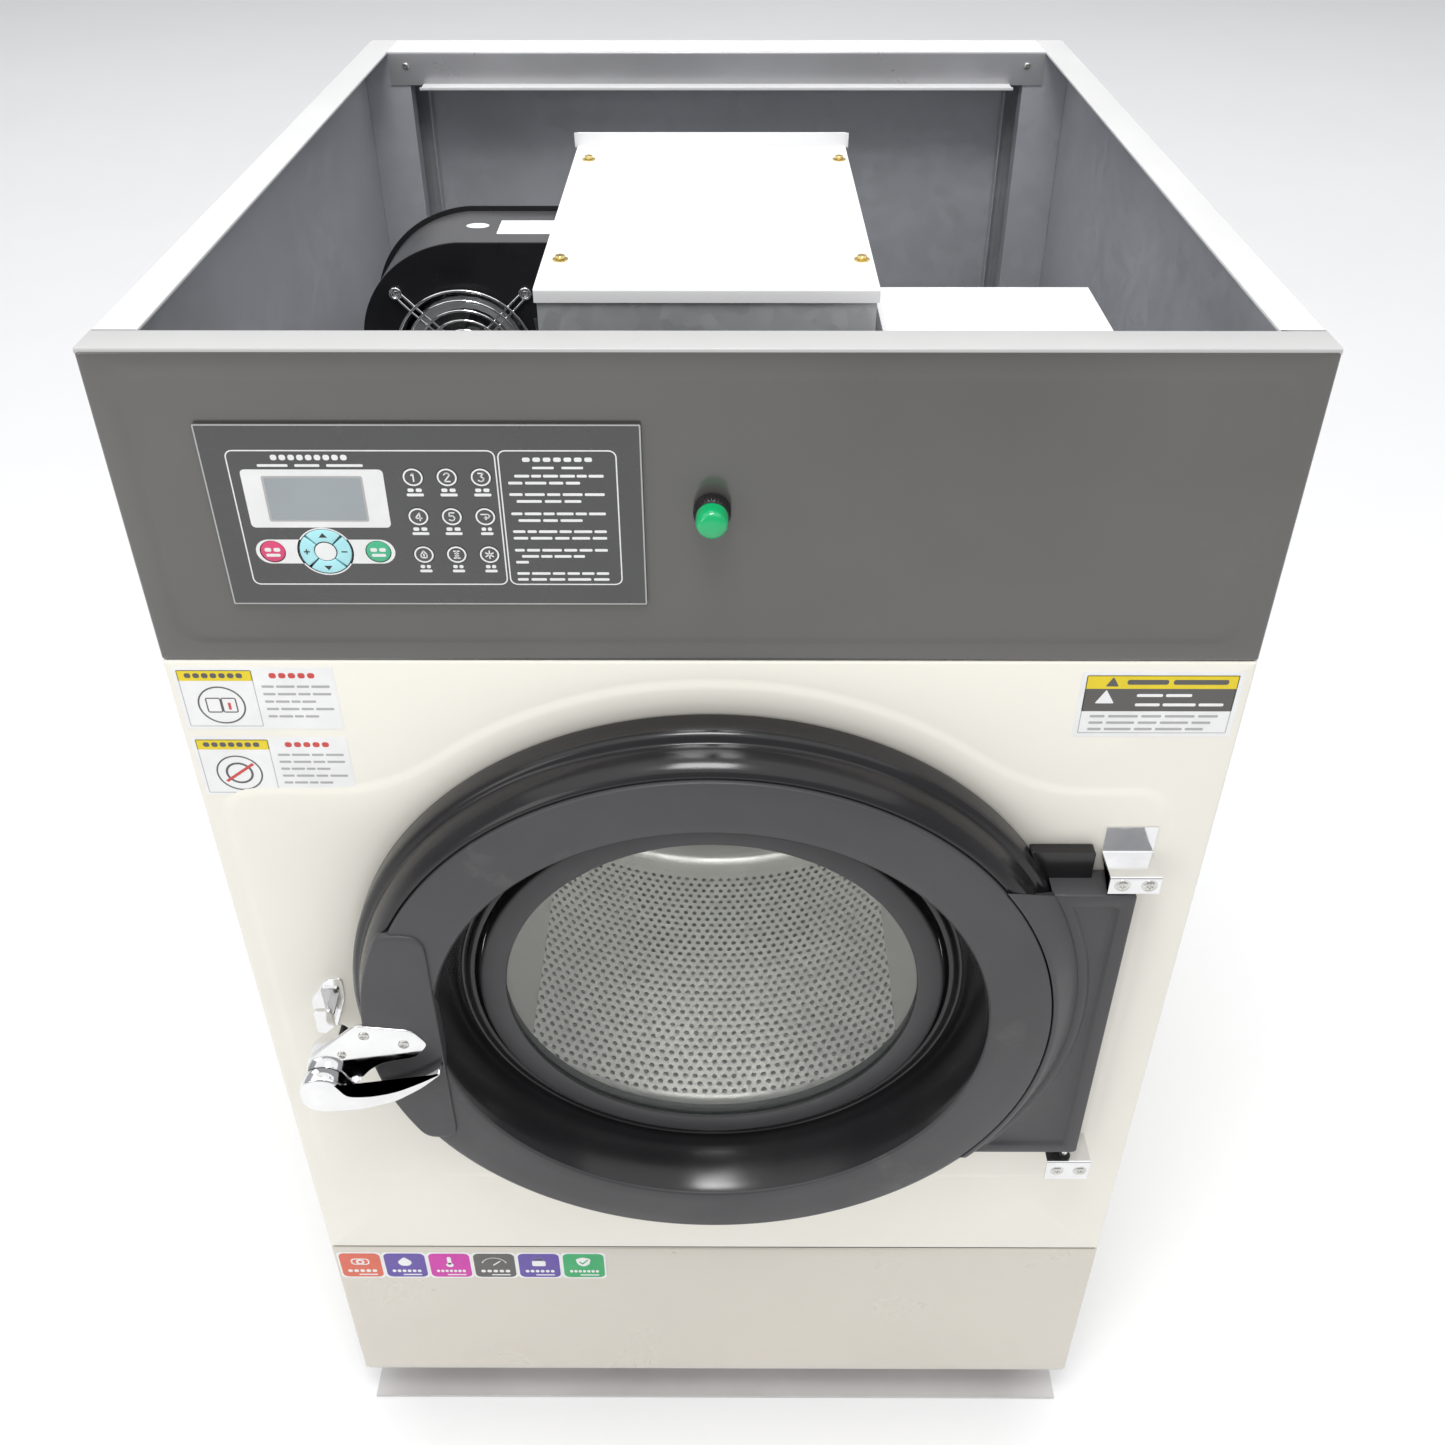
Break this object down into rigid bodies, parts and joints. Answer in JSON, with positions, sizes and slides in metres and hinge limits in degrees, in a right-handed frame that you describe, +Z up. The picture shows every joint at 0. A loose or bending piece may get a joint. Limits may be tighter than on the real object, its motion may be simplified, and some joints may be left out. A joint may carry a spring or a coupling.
{
  "type": "tumble dryer",
  "caption": "Front-loading commercial tumble dryer with a round glass door, control panel, perforated drum, belt drive, heater box and blowers in an open-topped cabinet.",
  "frame": {"origin": "on the floor, in the middle of the machine's outline", "axes": "+Z up, +Y towards the back, +X to the right seen from the front"},
  "size_m": [0.9, 1.12, 1.5],
  "materials": {
    "cream_paint": "satin powder coat",
    "charcoal_paint": "gloss coat",
    "white_paint": "satin paint",
    "galvanised": "galvanised sheet",
    "stainless": "brushed, perforated",
    "dark_plastic": "moulded, fine grain",
    "black_plastic": "moulded",
    "key_red": "printed membrane",
    "key_green": "printed membrane",
    "key_cyan": "printed membrane",
    "key_dark": "printed membrane",
    "lamp_green": "translucent",
    "rubber": "moulded",
    "chrome": "plated",
    "glass": "toughened, clear",
    "cast_iron": "painted",
    "motor_paint": "motor paint",
    "copper": "heating tube"
  },
  "bodies": {
    "cabinet": {"base_frame": "cast_iron", "control_panel": "charcoal_paint", "centre_panel": "cream_paint", "lower_panel": "cream_paint", "side_panel_left": "cream_paint", "side_panel_right": "cream_paint", "rear_panel": "cream_paint", "rear_top_beam": "white_paint", "rear_frame": "galvanised", "drum_shell": "galvanised", "lint_chute": "galvanised", "lint_screen": "stainless", "bearing_housing": "cast_iron", "drive_belt": "rubber", "drive_motor": "motor_paint", "blower_housing": "black_plastic", "finger_guard": "chrome", "heater_box": "galvanised", "heater_lid": "white_paint", "heater_coil": "copper", "electrical_box": "white_paint", "exhaust_housing": "galvanised", "exhaust_motor": "motor_paint", "control_overlay": "dark_plastic", "lamp_body": "black_plastic", "lamp_lens": "lamp_green", "hinge_bracket_upper": "chrome", "hinge_bracket_lower": "chrome", "latch_strike": "chrome"},
    "door": {"door_ring": "dark_plastic", "door_glass": "glass", "glass_seal": "rubber", "door_gasket": "rubber", "hinge_plate": "dark_plastic", "latch_body": "chrome"},
    "latch_handle": {"latch_lever": "chrome"},
    "drum": {"drum_basket": "stainless", "drum_lifter_1": "stainless", "drum_lifter_2": "stainless", "drum_lifter_3": "stainless", "drum_shaft": "cast_iron", "drum_pulley": "cast_iron"},
    "drive": {"motor_pulley": "cast_iron"},
    "intake_fan": {"blower_impeller": "galvanised"},
    "exhaust_fan": {"exhaust_impeller": "galvanised"},
    "button_stop": {"key_stop": "key_red"},
    "button_start": {"key_start": "key_green"},
    "button_up": {"key_up": "key_cyan"},
    "button_down": {"key_down": "key_cyan"},
    "button_left": {"key_left": "key_cyan"},
    "button_right": {"key_right": "key_cyan"},
    "button_program_1": {"key_program_1": "key_dark"},
    "button_program_2": {"key_program_2": "key_dark"},
    "button_program_3": {"key_program_3": "key_dark"},
    "button_program_4": {"key_program_4": "key_dark"},
    "button_program_5": {"key_program_5": "key_dark"},
    "button_program_6": {"key_program_6": "key_dark"},
    "button_program_7": {"key_program_7": "key_dark"},
    "button_program_8": {"key_program_8": "key_dark"},
    "button_program_9": {"key_program_9": "key_dark"}
  },
  "joints": [
    {"name": "door_hinge", "type": "hinge", "parent": "cabinet", "child": "door", "pos_m": [0.374, -0.5, 0.793], "axis": [0, 0, 1], "range_deg": [0, 150]},
    {"name": "latch_turn", "type": "hinge", "parent": "door", "child": "latch_handle", "pos_m": [-0.376, -0.55, 0.765], "axis": [0, 1, 0], "range_deg": [0, 35], "stiffness_Nm_per_rad": 0.5},
    {"name": "drum_spin", "type": "hinge", "parent": "cabinet", "child": "drum", "pos_m": [0, 0, 0.825], "axis": [0, 1, 0], "continuous": true},
    {"name": "drive_spin", "type": "hinge", "parent": "cabinet", "child": "drive", "pos_m": [0.28, 0.3, 0.19], "axis": [0, 1, 0], "continuous": true},
    {"name": "intake_spin", "type": "hinge", "parent": "cabinet", "child": "intake_fan", "pos_m": [-0.239, -0.1, 1.346], "axis": [0, 1, 0], "continuous": true},
    {"name": "exhaust_spin", "type": "hinge", "parent": "cabinet", "child": "exhaust_fan", "pos_m": [-0.18, 0.02, 0.265], "axis": [1, 0, 0], "continuous": true},
    {"name": "press_stop", "type": "slide", "parent": "cabinet", "child": "button_stop", "axis": [0, 1, 0], "range_m": [0, 0.0004], "stiffness_N_per_m": 800},
    {"name": "press_start", "type": "slide", "parent": "cabinet", "child": "button_start", "axis": [0, 1, 0], "range_m": [0, 0.0004], "stiffness_N_per_m": 800},
    {"name": "press_up", "type": "slide", "parent": "cabinet", "child": "button_up", "axis": [0, 1, 0], "range_m": [0, 0.0004], "stiffness_N_per_m": 800},
    {"name": "press_down", "type": "slide", "parent": "cabinet", "child": "button_down", "axis": [0, 1, 0], "range_m": [0, 0.0004], "stiffness_N_per_m": 800},
    {"name": "press_left", "type": "slide", "parent": "cabinet", "child": "button_left", "axis": [0, 1, 0], "range_m": [0, 0.0004], "stiffness_N_per_m": 800},
    {"name": "press_right", "type": "slide", "parent": "cabinet", "child": "button_right", "axis": [0, 1, 0], "range_m": [0, 0.0004], "stiffness_N_per_m": 800},
    {"name": "press_program_1", "type": "slide", "parent": "cabinet", "child": "button_program_1", "axis": [0, 1, 0], "range_m": [0, 0.0004], "stiffness_N_per_m": 800},
    {"name": "press_program_2", "type": "slide", "parent": "cabinet", "child": "button_program_2", "axis": [0, 1, 0], "range_m": [0, 0.0004], "stiffness_N_per_m": 800},
    {"name": "press_program_3", "type": "slide", "parent": "cabinet", "child": "button_program_3", "axis": [0, 1, 0], "range_m": [0, 0.0004], "stiffness_N_per_m": 800},
    {"name": "press_program_4", "type": "slide", "parent": "cabinet", "child": "button_program_4", "axis": [0, 1, 0], "range_m": [0, 0.0004], "stiffness_N_per_m": 800},
    {"name": "press_program_5", "type": "slide", "parent": "cabinet", "child": "button_program_5", "axis": [0, 1, 0], "range_m": [0, 0.0004], "stiffness_N_per_m": 800},
    {"name": "press_program_6", "type": "slide", "parent": "cabinet", "child": "button_program_6", "axis": [0, 1, 0], "range_m": [0, 0.0004], "stiffness_N_per_m": 800},
    {"name": "press_program_7", "type": "slide", "parent": "cabinet", "child": "button_program_7", "axis": [0, 1, 0], "range_m": [0, 0.0004], "stiffness_N_per_m": 800},
    {"name": "press_program_8", "type": "slide", "parent": "cabinet", "child": "button_program_8", "axis": [0, 1, 0], "range_m": [0, 0.0004], "stiffness_N_per_m": 800},
    {"name": "press_program_9", "type": "slide", "parent": "cabinet", "child": "button_program_9", "axis": [0, 1, 0], "range_m": [0, 0.0004], "stiffness_N_per_m": 800}
  ],
  "couplings": [
    {"joint": "drive_spin", "follows": "drum_spin", "ratio": 5.7647}
  ]
}
